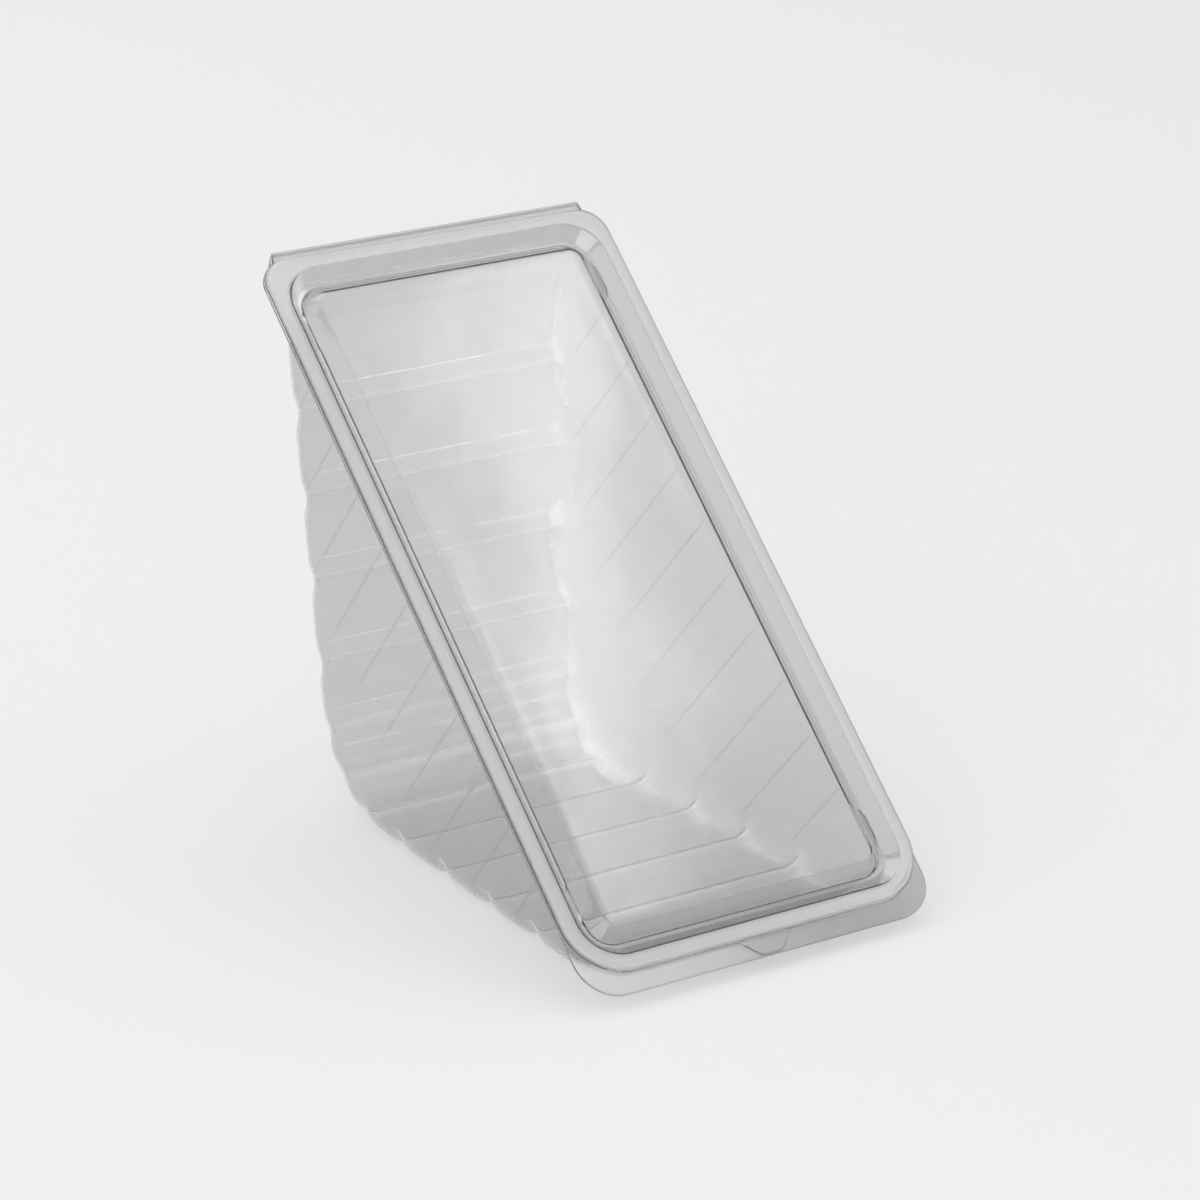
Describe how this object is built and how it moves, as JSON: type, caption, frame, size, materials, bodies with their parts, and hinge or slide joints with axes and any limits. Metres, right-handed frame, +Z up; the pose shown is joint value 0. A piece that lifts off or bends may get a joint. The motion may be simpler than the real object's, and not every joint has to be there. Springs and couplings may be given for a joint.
{
  "type": "clamshell pack",
  "caption": "Clear formed-plastic sandwich wedge pack: a pleated triangular tray closed by a flat hinged lid with a snap groove and a thumb tab.",
  "frame": {"origin": "on the floor, in the middle of the base pleat that lies under the pack's middle", "axes": "+Z up, X along the hinge, the edge that opens faces -Y and the hinge is at the top, towards +Y"},
  "size_m": [0.082, 0.1304, 0.1208],
  "materials": {
    "clear_sheet": "clear glossy formed sheet"
  },
  "bodies": {
    "tray": {"tray": "clear_sheet"},
    "lid": {"lid": "clear_sheet"}
  },
  "joints": [
    {"name": "lid_hinge", "type": "hinge", "parent": "tray", "child": "lid", "pos_m": [0, 0.065, 0.11997], "axis": [-1, 0, 0], "range_deg": [0, 180]}
  ]
}
